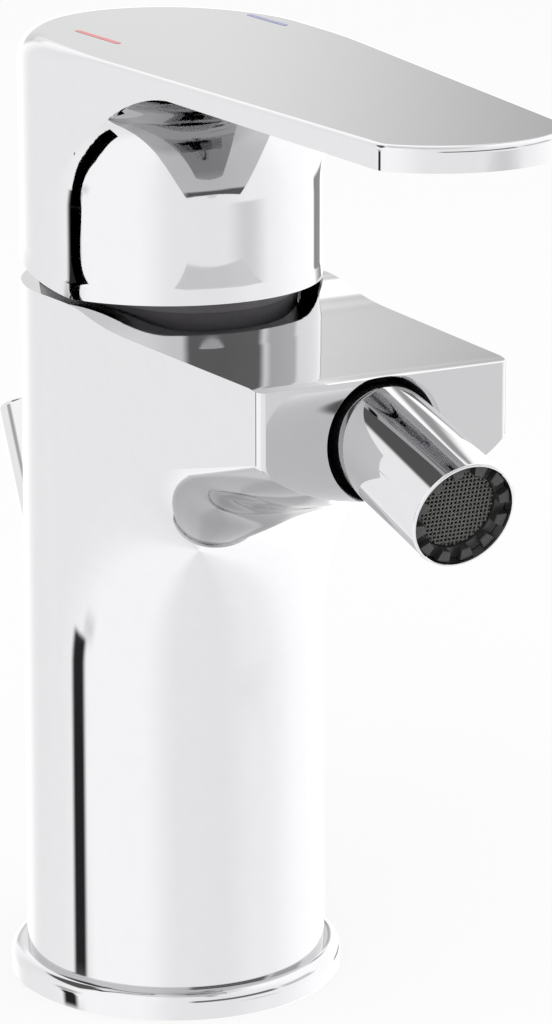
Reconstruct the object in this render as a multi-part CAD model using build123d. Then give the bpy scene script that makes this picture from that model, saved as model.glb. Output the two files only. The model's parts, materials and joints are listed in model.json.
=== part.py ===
from build123d import *
from math import atan2, cos, degrees, pi, radians, sin, sqrt, tan
import os

os.makedirs("parts", exist_ok=True)

# Frame: the spout points along -Y, Z is up, and the origin is the centre of the underside.
# Heights are measured from the deck. Forward distances are measured from the body's axis.

# Body, a slightly tapered column with the spout growing out of its front
body_foot_radius = 22.5
body_rim_radius = 21.87
body_height = 106.2
ring_radius = 24.87
ring_height = 4.2
ring_edge_round = 0.9
ring_width = 5.77
spigot_gap = 0.1
gasket_edge = 1.47
gasket_width = 2.8
gasket_thickness = 1.4
overrun = 30.0

# Spout
spout_reach = 61.5
spout_root_half_width = 21.775
spout_face_half_width = 19.45
spout_face_corner_radius = 1.2
spout_step_start = 8.0
spout_step_end = 27.0
spout_rear_drop = 1.75
spout_front_drop = 2.0
keel_slope = 16.4
elbow_radius = 30.0
elbow_start_drop = 53.2
elbow_inset = 0.06
belly_root_half_width = 22.05
belly_face_half_width = 21.9
belly_face_depth = 12.8
belly_side_height = 30.0
belly_front_length = 30.0
elbow_sections = 6

# Water ways and threads under the body
inlet_radius = 5.0
inlet_depth = 12.0
inlet_offset = 8.0
inlet_forward = 2.0
stud_radius = 4.0
stud_depth = 14.0
stud_forward = 12.0
supply_channel_radius = 3.2
outlet_channel_radius = 2.8
outlet_port_forward = -6.0
gallery_drop = 7.0
gallery_forward = 19.0
riser_setback = 32.5
riser_drop = 24.2
riser_end_setback = 22.5

# Cartridge seat in the body
cartridge_seat_depth = 34.2
cartridge_radius = 17.5
cartridge_gap = 0.25
nut_thread_radius = 18.5
thread_gap = 0.05
nut_bottom_depth = 11.2
nut_top_depth = 3.4
nut_relief = 0.3
nut_bore_radius = 12.0
nut_slot_width = 3.2
nut_slot_depth = 2.2
nut_slots = 6

# Cartridge: base plate with its seals, two ceramic discs, carrier, rotor and shell
base_plate_gap = 0.3
base_plate_thickness = 5.0
seal_wall = 1.0
seal_land = 0.35
seal_groove_depth = 0.9
peg_radius = 1.5
peg_length = 2.4
peg_gap = 0.1
peg_offset = 9.5
peg_forward = -10.5
fixed_disc_radius = 14.6
fixed_disc_thickness = 3.6
moving_disc_radius = 12.0
moving_disc_thickness = 3.6
mixing_pocket_depth = 1.8
mixing_pocket_radius = 5.2
mixing_pocket_length = 16.0
carrier_thickness = 3.3
carrier_rim_height = 0.6
carrier_rim_wall = 1.2
shell_bore_radius = 14.95
shell_lid_thickness = 3.0
rotor_flange_thickness = 3.3
rotor_flange_radius = 14.6
rotor_play = 0.3
rotor_neck_radius = 10.9
rotor_neck_gap = 0.2
rotor_rise = 2.8
rotor_slot_width = 8.4
rotor_slot_half_length = 8.5
rotor_ring_half_width = 0.75
rotor_ring_gap = 0.1
rotor_ring_drop = 1.5

# Stem, its pin and the lever joint
pivot_depth = 1.2
pin_radius = 1.5
pin_half_length = 9.8
pin_gap = 0.03
stem_width = 8.0
stem_square_drop = 7.0
stem_rise = 24.5
stem_arm_radius = 2.4
stem_ball_radius = 3.0
stem_arm_length = 18.4
stem_ball_gap = 0.3
lever_lift_range = 15.0

# Dome that closes the gap between body and lever
dome_radius = 19.3
dome_wall = 1.3
dome_rise = 10.8
dome_seat_gap = 0.1

# Lever
hub_radius = 21.9
lever_clearance = 0.45
hub_slope_start = 8.0
hub_rear_rise = 6.5
lever_rise = 36.3
lever_reach = 90.3
lever_tip_drop = 2.45
lever_side_taper = 5.13
lever_tip_radius = 20.0
lever_corner_radius = 3.6
lever_edge_round = 0.9
lever_rim_round = 4.0
rim_guard_radius = 22.4
rim_guard_gap = 0.05
rim_guard_spread = 8.0
plate_root_depth = 2.37
plate_tip_depth = 5.86
hub_fillet_radius = 18.8
hub_fillet_drop = 3.7
hub_cavity_radius = 20.1
hub_hollow_radius = 15.0
hub_hollow_drop = 6.5
boss_radius = 7.5
boss_rise = 9.0
socket_gap = 0.05
socket_depth_gap = 0.4

# Grub screw behind the lever and its cover plug
screw_rise = 17.0
screw_radius = 2.5
screw_length = 5.5
screw_hex_radius = 1.45
screw_hex_depth = 2.5
plug_hole_radius = 3.2
plug_gap = 0.05
plug_length = 4.0
plug_recess = 0.4
plug_head_round = 0.4

# Ball joint and aerator, measured along the tube from the ball's centre
ball_setback = 0.7
ball_drop = 10.9
aerator_rest_tilt = 15.2
face_bore_radius = 8.5
face_bore_depth = 10.7
face_bore_chamfer = 0.5
nipple_thread_radius = 3.9
nipple_thread_length = 7.3
nipple_collar_radius = 4.5
nipple_collar_length = 1.6
nipple_neck_radius = 2.7
nipple_bore_radius = 1.6
nipple_seal_radius = 5.8
nipple_seal_thickness = 0.8
nipple_seal_gap = 0.1
ball_radius = 5.2
ball_front_cut = 4.6
joint_gap = 0.05
seat_outer_radius = 6.2
seat_half_length = 3.2
sleeve_radius = 7.7
sleeve_length = 21.9
sleeve_throat_radius = 4.75
sleeve_mouth_radius = 5.3
sleeve_rim_round = 0.3
retainer_start = 5.5
retainer_end = 7.4
retainer_bore_radius = 3.6
aerator_step = 9.0
aerator_gasket_thickness = 1.4
aerator_gasket_bore_radius = 4.6
insert_radius = 7.2
insert_recess = 0.5
insert_bore_radius = 4.9
insert_plate_thickness = 2.0
insert_notches = 12
insert_notch_width = 1.7
insert_notch_depth = 1.2
insert_lip_radius = 5.6
jet_radius = 0.55
jet_circle_radius = 3.3
jets = 6
mesh_radius = 5.5
mesh_thickness = 0.6
mesh_recess = 1.4
mesh_pitch = 1.6
mesh_opening = 1.1
mesh_count = 6

# Lift rod, which leans backwards out of the rear wall
rod_lean = 26.0
rod_edge_distance = 6.6
rod_radius = 2.5
rod_foot_height = 1.5
rod_foot_chamfer = 0.5
rod_hole_radius = 2.8
bush_radius = 3.5
bush_gap = 0.05
bush_bore_gap = 0.08
bush_bottom_height = 2.6
bush_top_height = 13.0
knob_radius = 4.3
knob_top_drop = 29.2
knob_length = 22.0
knob_top_round = 0.7
knob_bottom_round = 2.2
knob_socket_depth = 9.0
knob_socket_gap = 0.03

# Places that follow from the sizes above
spigot_radius = ring_radius - ring_width - spigot_gap
rod_foot_back = spigot_radius - rod_edge_distance
gasket_outer_radius = ring_radius - gasket_edge
gasket_inner_radius = gasket_outer_radius - gasket_width
elbow_start_height = body_height - elbow_start_drop
cartridge_floor = body_height - cartridge_seat_depth
riser_forward = spout_reach - riser_setback
riser_end_forward = spout_reach - riser_end_setback
riser_height = body_height - riser_drop
nut_bottom = body_height - nut_bottom_depth
nut_top = body_height - nut_top_depth
base_plate_bottom = cartridge_floor + base_plate_gap
base_plate_top = base_plate_bottom + base_plate_thickness
rotor_top = body_height + rotor_rise
pivot_height = body_height - pivot_depth
stem_square_bottom = pivot_height - stem_square_drop
stem_top = pivot_height + stem_rise
stem_ball_height = pivot_height - stem_arm_length
dome_top = pivot_height + dome_rise
hub_front_height = body_height + lever_clearance
lever_height = body_height + lever_rise
hub_fillet_top = lever_height - hub_fillet_drop
hub_hollow_top = lever_height - hub_hollow_drop
boss_bottom = pivot_height + boss_rise
screw_height = pivot_height + screw_rise
ball_forward = spout_reach - ball_setback
ball_height = body_height - ball_drop
knob_top_height = body_height - knob_top_drop
base_seat = ball_forward - (spout_reach - face_bore_depth)
outlet_floor_height = cartridge_floor - gallery_drop
fixed_disc_top = base_plate_top + fixed_disc_thickness
moving_disc_top = fixed_disc_top + moving_disc_thickness
carrier_top = moving_disc_top + carrier_thickness
flange_bottom = carrier_top + rotor_play
flange_top = flange_bottom + rotor_flange_thickness
lid_bottom = nut_bottom - shell_lid_thickness
disc_travel = stem_arm_length * sin(radians(lever_lift_range))
disc_rest_forward = -disc_travel / 2

# Working planes: one through the spout's middle, one on the ball, one on the lift rod
side_view = Plane(origin=(0, 0, 0), x_dir=(0, -1, 0), z_dir=(-1, 0, 0))
socket_axis = Plane(origin=(0, -ball_forward, ball_height), x_dir=(1, 0, 0), z_dir=(0, -1, 0))
tube_axis = Plane(
    origin=(0, -ball_forward, ball_height),
    x_dir=(1, 0, 0),
    z_dir=(0, -cos(radians(aerator_rest_tilt)), -sin(radians(aerator_rest_tilt))),
)
rod_axis = Plane(
    origin=(0, rod_foot_back, 0),
    x_dir=(1, 0, 0),
    z_dir=(0, sin(radians(rod_lean)), cos(radians(rod_lean))),
)


def post(radius, bottom, top):
    """A round bar along Z from bottom to top."""
    bar = Cylinder(radius, top - bottom, align=(Align.CENTER, Align.CENTER, Align.MIN))
    return Pos(0, 0, bottom) * bar


def collar(outer, inner, bottom, top):
    """A round bar with a bore."""
    return post(outer, bottom, top) - post(inner, bottom - overrun, top + overrun)


def block(width, depth, bottom, top):
    """A box centred on Z."""
    box = Box(width, depth, top - bottom, align=(Align.CENTER, Align.CENTER, Align.MIN))
    return Pos(0, 0, bottom) * box


def channel(points, radius):
    """A round water way through the side-view points, with a ball at each bend."""
    way = Part()
    for start, end in zip(points, points[1:]):
        first = Vector(0, -start[0], start[1])
        run = Vector(0, -end[0], end[1]) - first
        bar = Cylinder(radius, run.length, align=(Align.CENTER, Align.CENTER, Align.MIN))
        way += Plane(origin=first, x_dir=(1, 0, 0), z_dir=run.normalized()) * bar
    for forward, height in points[1:-1]:
        way += Pos(0, -forward, height) * Sphere(radius)
    return way


def slab_from_side(outline, half_width):
    """A side-view face pushed out both ways."""
    return extrude(side_view * outline, amount=half_width, both=True)


def write(name, solid):
    """One STEP file for one piece."""
    solid.label = name
    export_step(solid, f"parts/{name}.step")


# Outer form of the body

def spout_top_outline():
    """Side view of everything below the rim, whose front steps down in a soft S."""
    rear = -body_foot_radius - overrun
    front = spout_reach + overrun
    slope = (spout_front_drop - spout_rear_drop) / (spout_reach - spout_step_end)
    front_height = body_height - spout_rear_drop - slope * (front - spout_step_end)
    step = spout_step_end - spout_step_start
    spout_height = body_height - spout_rear_drop
    lead_share = 0.38
    s_curve = Bezier(
        (spout_step_start, body_height),
        (spout_step_start + lead_share * step, body_height),
        (spout_step_start + lead_share * step, spout_height + slope * step * (1 - lead_share)),
        (spout_step_end, spout_height),
    )
    edges = [
        Line((rear, body_height), (spout_step_start, body_height)),
        s_curve,
        Line((spout_step_end, spout_height), (front, front_height)),
        Line((front, front_height), (front, 0)),
        Line((front, 0), (rear, 0)),
        Line((rear, 0), (rear, body_height)),
    ]
    return make_face(edges)


def belly_section(turn):
    """Half ellipse with straight sides, square to the elbow at this turn."""
    full_turn = 90 - keel_slope
    share = turn / full_turn
    ease_share = (1 + cos(pi * share)) / 2
    half_width = belly_face_half_width + (belly_root_half_width - belly_face_half_width) * (1 - share)
    root_depth = body_radius_at(elbow_start_height)
    depth = belly_face_depth + (root_depth - belly_face_depth) * ease_share
    axis_forward = body_radius_at(elbow_start_height) - elbow_inset + elbow_radius
    frame = Plane(
        origin=(0, -axis_forward, elbow_start_height),
        x_dir=(1, 0, 0),
        z_dir=(0, -sin(radians(turn)), cos(radians(turn))),
    )
    outward = 1 if frame.y_dir.Y > 0 else -1
    centre = outward * (elbow_radius + depth)
    top = outward * (elbow_radius + depth + belly_side_height)
    keel = outward * elbow_radius
    curve = EllipticalCenterArc(
        (0, centre), half_width, depth, start_angle=180 if keel < centre else 0, arc_size=180
    )
    left = curve.position_at(0)
    right = curve.position_at(1)
    edges = [
        curve,
        Line(right, (right.X, top)),
        Line((right.X, top), (left.X, top)),
        Line((left.X, top), left),
    ]
    return frame * make_face(edges)


def body_radius_at(height):
    """Radius of the tapered column at a height."""
    share = (height - ring_height) / (body_height - ring_height)
    return body_foot_radius + (body_rim_radius - body_foot_radius) * share


def body_outside():
    """Column and spout as one casting, before any bore."""
    column = Pos(0, 0, ring_height) * Cone(
        body_foot_radius,
        body_rim_radius,
        body_height - ring_height,
        align=(Align.CENTER, Align.CENTER, Align.MIN),
    )
    full_turn = 90 - keel_slope
    sections = [belly_section(full_turn * step / elbow_sections) for step in range(elbow_sections + 1)]
    elbow = loft(sections)
    forward = Vector(0, -cos(radians(keel_slope)), sin(radians(keel_slope)))
    belly = elbow + extrude(sections[-1], amount=belly_front_length, dir=forward)
    plan = make_face(
        Polyline(
            (-spout_root_half_width, 0),
            (spout_root_half_width, 0),
            (spout_face_half_width, -spout_reach),
            (-spout_face_half_width, -spout_reach),
            close=True,
        )
    )
    plan = fillet(plan.vertices().group_by(Axis.Y)[0], spout_face_corner_radius)
    spout = belly & extrude(plan, amount=body_height + overrun)
    below_top = slab_from_side(spout_top_outline(), body_foot_radius + overrun)
    return (column + spout) & below_top


# Pieces that stand still

def make_mixer_body():
    """The casting: outside, spigot, cartridge seat, water ways, threads and rod hole."""
    solid = body_outside() + post(spigot_radius, 0, ring_height)
    solid -= post(cartridge_radius + cartridge_gap, cartridge_floor, body_height + overrun)
    solid -= post(nut_thread_radius + thread_gap, nut_bottom - nut_relief, body_height + overrun)
    solid -= post(dome_radius + dome_seat_gap, nut_top, body_height + overrun)
    for side in (-1, 1):
        inlet = Pos(side * inlet_offset, -inlet_forward, 0)
        solid -= inlet * post(inlet_radius, -overrun, inlet_depth)
        solid -= inlet * post(supply_channel_radius, 0, cartridge_floor + overrun)
        peg_hole = post(peg_radius + peg_gap, cartridge_floor - peg_length - peg_gap, cartridge_floor)
        solid -= Pos(side * peg_offset, -peg_forward, 0) * peg_hole
    solid -= Pos(0, -stud_forward, 0) * post(stud_radius, -overrun, stud_depth)
    outlet = [
        (outlet_port_forward, cartridge_floor + outlet_channel_radius),
        (outlet_port_forward, outlet_floor_height),
        (gallery_forward, outlet_floor_height),
        (riser_forward, riser_height),
        (riser_end_forward, ball_height),
        (ball_forward - base_seat, ball_height),
    ]
    solid -= channel(outlet, outlet_channel_radius)
    seat = spout_reach - ball_forward - face_bore_depth
    mouth = spout_reach - ball_forward
    solid -= socket_axis * post(face_bore_radius, seat, mouth + overrun)
    solid -= socket_axis * post(nipple_thread_radius + thread_gap, seat - nipple_thread_length, seat)
    rim = Cone(
        face_bore_radius,
        face_bore_radius + 2 * face_bore_chamfer,
        2 * face_bore_chamfer,
        align=(Align.CENTER, Align.CENTER, Align.MIN),
    )
    solid -= socket_axis * Pos(0, 0, mouth - face_bore_chamfer) * rim
    solid -= rod_axis * post(rod_hole_radius, -overrun, elbow_start_height)
    solid -= rod_axis * post(bush_radius + bush_gap, -overrun, along_rod(bush_top_height))
    return solid


def along_rod(height):
    """Distance along the rod's axis to a height above the deck."""
    return height / cos(radians(rod_lean))


def make_base_ring():
    """Foot ring round the spigot, with a groove for the gasket."""
    ring = post(ring_radius, 0, ring_height)
    ring = fillet(ring.edges().group_by(Axis.Z)[-1], ring_edge_round)
    ring -= post(spigot_radius + spigot_gap, -overrun, overrun)
    return ring - collar(gasket_outer_radius, gasket_inner_radius, -overrun, gasket_thickness)


def make_base_gasket():
    """Rubber ring flush with the underside."""
    return collar(gasket_outer_radius, gasket_inner_radius, 0, gasket_thickness)


def port_places():
    """Places of the two supply ports and the outlet port."""
    return {
        "hot": (-inlet_offset, -inlet_forward, supply_channel_radius),
        "cold": (inlet_offset, -inlet_forward, supply_channel_radius),
        "mixed": (0, -outlet_port_forward, outlet_channel_radius),
    }


def make_port_seal(place):
    """Rubber ring between the floor of the seat and the base plate."""
    inner = place[2] + seal_land
    top = base_plate_bottom + seal_groove_depth
    return Pos(place[0], place[1], 0) * collar(inner + seal_wall, inner, cartridge_floor, top)


def make_cartridge_base():
    """Base plate with three ports, their seal grooves and two locating pegs."""
    plate = post(cartridge_radius, base_plate_bottom, base_plate_top)
    for place in port_places().values():
        port = Pos(place[0], place[1], 0)
        plate -= port * post(place[2], base_plate_bottom - overrun, base_plate_top + overrun)
        groove_radius = place[2] + seal_land
        groove_top = base_plate_bottom + seal_groove_depth
        groove = collar(groove_radius + seal_wall, groove_radius, base_plate_bottom - overrun, groove_top)
        plate -= port * groove
    for side in (-1, 1):
        peg = post(peg_radius, cartridge_floor - peg_length, base_plate_bottom)
        plate += Pos(side * peg_offset, -peg_forward, 0) * peg
    return plate


def make_fixed_disc():
    """Lower ceramic disc with the three ports."""
    disc = post(fixed_disc_radius, base_plate_top, fixed_disc_top)
    for place in port_places().values():
        disc -= Pos(place[0], place[1], 0) * post(place[2], base_plate_bottom, fixed_disc_top + overrun)
    return disc


def make_cartridge_shell():
    """Outer shell of the cartridge with the lid that holds the rotor down."""
    shell = collar(cartridge_radius, shell_bore_radius, base_plate_top, nut_bottom)
    lid = collar(cartridge_radius, rotor_neck_radius + rotor_neck_gap, lid_bottom, nut_bottom)
    return shell + lid


def make_cartridge_nut():
    """Threaded ring that clamps the cartridge, with spanner slots in its top."""
    nut = collar(nut_thread_radius, nut_bore_radius, nut_bottom, nut_top)
    slot = block(2 * nut_thread_radius + overrun, nut_slot_width, nut_top - nut_slot_depth, nut_top + overrun)
    for turn in range(nut_slots // 2):
        nut -= Rot(0, 0, turn * 360 / nut_slots) * slot
    return nut


def make_dome_cap():
    """Thin dome round the lever joint, open at the top for the stem."""
    outside = Pos(0, 0, pivot_height) * Sphere(dome_radius)
    inside = Pos(0, 0, pivot_height) * Sphere(dome_radius - dome_wall)
    upper = block(4 * dome_radius, 4 * dome_radius, pivot_height, dome_top)
    dome = (outside - inside) & upper
    return dome + collar(dome_radius, dome_radius - dome_wall, nut_top, pivot_height)


def make_ball_nipple():
    """Hollow ball on a neck with a thread, screwed into the spout."""
    seat = -base_seat
    collar_bottom = seat + nipple_seal_thickness
    nipple = post(nipple_thread_radius, seat - nipple_thread_length, collar_bottom)
    nipple += post(nipple_collar_radius, collar_bottom, collar_bottom + nipple_collar_length)
    nipple += post(nipple_neck_radius, collar_bottom, 0)
    ball = Sphere(ball_radius) & block(4 * ball_radius, 4 * ball_radius, -2 * ball_radius, ball_front_cut)
    nipple += ball
    nipple -= post(nipple_bore_radius, seat - nipple_thread_length - overrun, ball_radius + overrun)
    return socket_axis * nipple


def make_nipple_seal():
    """Flat seal under the nipple's collar."""
    inner = nipple_thread_radius + nipple_seal_gap
    return socket_axis * collar(nipple_seal_radius, inner, -base_seat, -base_seat + nipple_seal_thickness)


def make_rod_bush():
    """Plastic guide for the lift rod inside the foot."""
    bottom = along_rod(bush_bottom_height)
    top = along_rod(bush_top_height)
    return rod_axis * collar(bush_radius, rod_radius + bush_bore_gap, bottom, top)


# Pieces that turn and lift with the lever

def make_cartridge_rotor():
    """Flange and neck of the rotor, slotted for the stem, with a groove for its ring."""
    rotor = post(rotor_flange_radius, flange_bottom, flange_top)
    rotor += post(rotor_neck_radius, flange_top, rotor_top)
    slot = block(rotor_slot_width, 2 * rotor_slot_half_length, flange_bottom - overrun, rotor_top + overrun)
    rotor -= slot
    groove_middle = nut_bottom - rotor_ring_drop
    half_height = rotor_ring_half_width + rotor_ring_gap
    groove_floor = rotor_neck_radius - 2 * rotor_ring_half_width - rotor_ring_gap
    groove = collar(
        rotor_neck_radius + overrun, groove_floor, groove_middle - half_height, groove_middle + half_height
    )
    rotor -= groove
    pin_hole = Cylinder(pin_radius + pin_gap, 4 * rotor_neck_radius, rotation=(0, 90, 0))
    return rotor - Pos(0, 0, pivot_height) * pin_hole


def make_rotor_ring():
    """Square rubber ring in the rotor's groove."""
    middle = nut_bottom - rotor_ring_drop
    inner_radius = rotor_neck_radius - 2 * rotor_ring_half_width
    bottom = middle - rotor_ring_half_width
    return collar(rotor_neck_radius, inner_radius, bottom, middle + rotor_ring_half_width)


def make_stem_pin():
    """Cross pin that the stem tilts on."""
    return Pos(0, 0, pivot_height) * Cylinder(pin_radius, 2 * pin_half_length, rotation=(0, 90, 0))


def make_moving_disc():
    """Upper ceramic disc with the mixing pocket in its underside."""
    disc = Pos(0, -disc_rest_forward, 0) * post(moving_disc_radius, fixed_disc_top, moving_disc_top)
    pocket = SlotOverall(mixing_pocket_length, 2 * mixing_pocket_radius, rotation=90)
    pocket = extrude(pocket, amount=mixing_pocket_depth + overrun)
    lift = fixed_disc_top - overrun
    return disc - Pos(0, -disc_rest_forward, lift) * pocket


def make_disc_carrier():
    """Plastic carrier on the upper disc, with the hole for the stem's ball."""
    carrier = Pos(0, -disc_rest_forward, 0) * post(moving_disc_radius, moving_disc_top, carrier_top)
    return carrier - post(stem_ball_radius + stem_ball_gap, moving_disc_top - overrun, carrier_top + overrun)


def make_cartridge_stem():
    """Square lever spindle above the pin, round arm and ball below it."""
    stem = block(stem_width, stem_width, stem_square_bottom, stem_top)
    stem = chamfer(stem.edges().group_by(Axis.Z)[-1], stem_width / 10)
    stem += post(stem_arm_radius, stem_ball_height, stem_square_bottom)
    stem += Pos(0, 0, stem_ball_height) * Sphere(stem_ball_radius)
    bottom = stem_ball_height - stem_ball_radius / 2
    stem &= block(4 * stem_width, 4 * stem_width, bottom, stem_top + overrun)
    pin_hole = Cylinder(pin_radius + pin_gap, 4 * stem_width, rotation=(0, 90, 0))
    return stem - Pos(0, 0, pivot_height) * pin_hole


def lever_side_width(forward):
    """Half width of the lever's tapering sides, tangent to the hub."""
    taper = radians(lever_side_taper)
    return (hub_radius - forward * sin(taper)) / cos(taper)


def lever_outline():
    """Plan of the lever: hub circle, tapering sides and a bowed tip with round corners."""
    taper = radians(lever_side_taper)
    start = hub_radius * sin(taper)
    sides = make_face(
        Polyline(
            (-lever_side_width(start), -start),
            (lever_side_width(start), -start),
            (lever_side_width(lever_reach), -lever_reach),
            (-lever_side_width(lever_reach), -lever_reach),
            close=True,
        )
    )
    plan = Circle(hub_radius) + sides
    bow_centre = lever_reach - lever_tip_radius
    reach_band = Rectangle(4 * hub_radius, bow_centre + 2 * hub_radius, align=(Align.CENTER, Align.MAX))
    bow = Pos(0, 2 * hub_radius, 0) * reach_band + Pos(0, -bow_centre, 0) * Circle(lever_tip_radius)
    plan = plan & bow
    corners = plan.vertices().filter_by(lambda v: v.Y < -bow_centre)
    return fillet(corners, lever_corner_radius)


def height_on_lever_top(forward):
    """Height of the lever's sloping top."""
    return lever_height - lever_tip_drop * forward / lever_reach


def height_under_plate(forward):
    """Height of the flat underside of the lever's plate."""
    depth = plate_root_depth + (plate_tip_depth - plate_root_depth) * forward / lever_reach
    return lever_height - depth


def below_lever_top():
    """Side view of everything under the lever's top."""
    rear = -hub_radius - overrun
    front = lever_reach + overrun
    outline = make_face(
        Polyline(
            (rear, height_on_lever_top(rear)),
            (front, height_on_lever_top(front)),
            (front, 0),
            (rear, 0),
            close=True,
        )
    )
    return slab_from_side(outline, 2 * hub_radius + overrun)


def lever_rim_guard():
    """Wide body whose rounded rear rim shapes the lever's rim and fades out along the sides."""
    spread = radians(rim_guard_spread)
    centre = rim_guard_radius - hub_radius - rim_guard_gap
    start = -rim_guard_radius * sin(spread)
    width = rim_guard_radius * cos(spread)
    front = lever_reach + overrun
    far_width = width + (front - start) * tan(spread)
    corners = [(-width, -start), (width, -start), (far_width, -front), (-far_width, -front)]
    fan = make_face(Polyline(*corners, close=True))
    plan = Pos(0, -centre, 0) * (Circle(rim_guard_radius) + fan)
    guard = extrude(plan, amount=lever_height + overrun) & below_lever_top()
    top = guard.faces().filter_by(lambda face: face.normal_at().Z > sqrt(0.5)).sort_by(Axis.Z)[-1]
    rim = top.edges().filter_by(lambda edge: edge.center().Y > -front / 2)
    return fillet(rim, lever_rim_round)


def lever_under_shape():
    """Everything above the underside: the hub, its large hollow round and the flat plate."""
    low = 0
    high = lever_height + overrun
    outer = hub_radius + hub_fillet_radius
    start = hub_fillet_top - hub_fillet_radius
    profile = [
        Line((0, low), (hub_radius, low)),
        Line((hub_radius, low), (hub_radius, start)),
        CenterArc((outer, start), hub_fillet_radius, 180, -90),
        Line((outer, hub_fillet_top), (outer, high)),
        Line((outer, high), (0, high)),
        Line((0, high), (0, low)),
    ]
    hub = revolve(Plane.XZ * make_face(profile), Axis.Z)
    rear = 0
    front = lever_reach + overrun
    plate = make_face(
        Polyline(
            (rear, height_under_plate(rear)),
            (front, height_under_plate(front)),
            (front, high),
            (rear, high),
            close=True,
        )
    )
    return hub + slab_from_side(plate, hub_radius + overrun)


def make_lever_handle():
    """Lever with hollow hub, sloping skirt, boss for the stem and holes for the grub screw."""
    blank = extrude(lever_outline(), amount=lever_height + overrun) & below_lever_top()
    top = blank.faces().filter_by(lambda face: face.normal_at().Z > sqrt(0.5)).sort_by(Axis.Z)[-1]
    blank = fillet(top.edges(), lever_edge_round)
    lever = (blank & lever_under_shape()) & lever_rim_guard()
    rear = -hub_radius - overrun
    rise = hub_rear_rise / (hub_slope_start + hub_radius)
    skirt = make_face(
        Polyline(
            (lever_reach, 0),
            (lever_reach, hub_front_height),
            (hub_slope_start, hub_front_height),
            (rear, hub_front_height + rise * (hub_slope_start - rear)),
            (rear, 0),
            close=True,
        )
    )
    lever -= slab_from_side(skirt, 2 * hub_radius)
    hollow = Pos(0, 0, pivot_height) * Sphere(hub_cavity_radius)
    hollow += post(hub_hollow_radius, pivot_height, hub_hollow_top)
    hollow -= post(boss_radius, boss_bottom, hub_hollow_top + overrun)
    lever -= hollow
    socket_width = stem_width + 2 * socket_gap
    lever -= block(socket_width, socket_width, boss_bottom - overrun, stem_top + socket_depth_gap)
    thread = Rot(-90, 0, 0) * post(screw_radius + thread_gap, 0, hub_hollow_radius)
    access = Rot(-90, 0, 0) * post(plug_hole_radius, boss_radius + screw_radius, 2 * hub_radius)
    return lever - Pos(0, 0, screw_height) * (thread + access)


def make_grub_screw():
    """Grub screw pressing on the stem, with a hexagon socket."""
    start = stem_width / 2 + socket_gap
    screw = post(screw_radius, start, start + screw_length)
    hexagon = extrude(RegularPolygon(screw_hex_radius, 6), amount=screw_hex_depth + overrun)
    screw -= Pos(0, 0, start + screw_length - screw_hex_depth) * hexagon
    return Pos(0, 0, screw_height) * Rot(-90, 0, 0) * screw


def make_screw_plug():
    """Plug over the grub screw, set a little inside the rear of the hub."""
    end = hub_radius - plug_recess
    plug = post(plug_hole_radius - plug_gap, end - plug_length, end)
    plug = fillet(plug.edges().group_by(Axis.Z)[-1], plug_head_round)
    return Pos(0, 0, screw_height) * Rot(-90, 0, 0) * plug


# Swivelling aerator

def make_ball_seat():
    """Slip ring between the ball and the sleeve."""
    ring = Sphere(seat_outer_radius) - Sphere(ball_radius + joint_gap)
    band = block(4 * seat_outer_radius, 4 * seat_outer_radius, -seat_half_length, seat_half_length)
    return socket_axis * (ring & band)


def make_aerator_sleeve():
    """Chromed tube with a round rear end that grips the seat from behind."""
    cavity_radius = seat_outer_radius + joint_gap
    sleeve = Sphere(sleeve_radius) + post(sleeve_radius, 0, sleeve_length)
    sleeve = fillet(sleeve.edges().group_by(Axis.Z)[-1], sleeve_rim_round)
    sleeve -= Sphere(cavity_radius)
    sleeve -= post(cavity_radius + joint_gap, 0, sleeve_length + overrun)
    sleeve -= post(insert_radius + thread_gap, aerator_step, sleeve_length + overrun)
    throat = -sqrt(cavity_radius**2 - sleeve_throat_radius**2)
    mouth = -sqrt(sleeve_radius**2 - sleeve_mouth_radius**2)
    widening = (sleeve_mouth_radius - sleeve_throat_radius) / (throat - mouth)
    far = mouth - sleeve_mouth_radius
    far_radius = sleeve_mouth_radius + widening * (mouth - far)
    base = (Align.CENTER, Align.CENTER, Align.MIN)
    opening = Cone(far_radius, sleeve_throat_radius, throat - far, align=base)
    sleeve -= Pos(0, 0, far) * opening
    return tube_axis * sleeve


def make_seat_retainer():
    """Threaded ring in front of the ball."""
    outer = seat_outer_radius + joint_gap
    return tube_axis * collar(outer, retainer_bore_radius, retainer_start, retainer_end)


def make_aerator_gasket():
    """Flat rubber ring under the aerator insert."""
    end = aerator_step + aerator_gasket_thickness
    return tube_axis * collar(insert_radius, aerator_gasket_bore_radius, aerator_step, end)


def make_aerator_insert():
    """Plastic jet holder: a plate of jets behind, a castellated rim in front."""
    start = aerator_step + aerator_gasket_thickness
    end = sleeve_length - insert_recess
    ledge = end - mesh_recess - mesh_thickness
    insert = collar(insert_radius, insert_bore_radius, start, end)
    insert -= post(insert_lip_radius, ledge, end + overrun)
    plate = post(insert_bore_radius + joint_gap, start, start + insert_plate_thickness)
    for turn in range(jets):
        jet = Pos(jet_circle_radius, 0, 0) * post(jet_radius, start - overrun, end + overrun)
        plate -= Rot(0, 0, turn * 360 / jets) * jet
    insert += plate
    notch = block(insert_notch_width, insert_radius + overrun, end - insert_notch_depth, end + overrun)
    notch = Pos(0, insert_bore_radius + (insert_radius + overrun) / 2, 0) * notch
    for turn in range(insert_notches):
        insert -= Rot(0, 0, turn * 360 / insert_notches) * notch
    return tube_axis * insert


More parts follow.
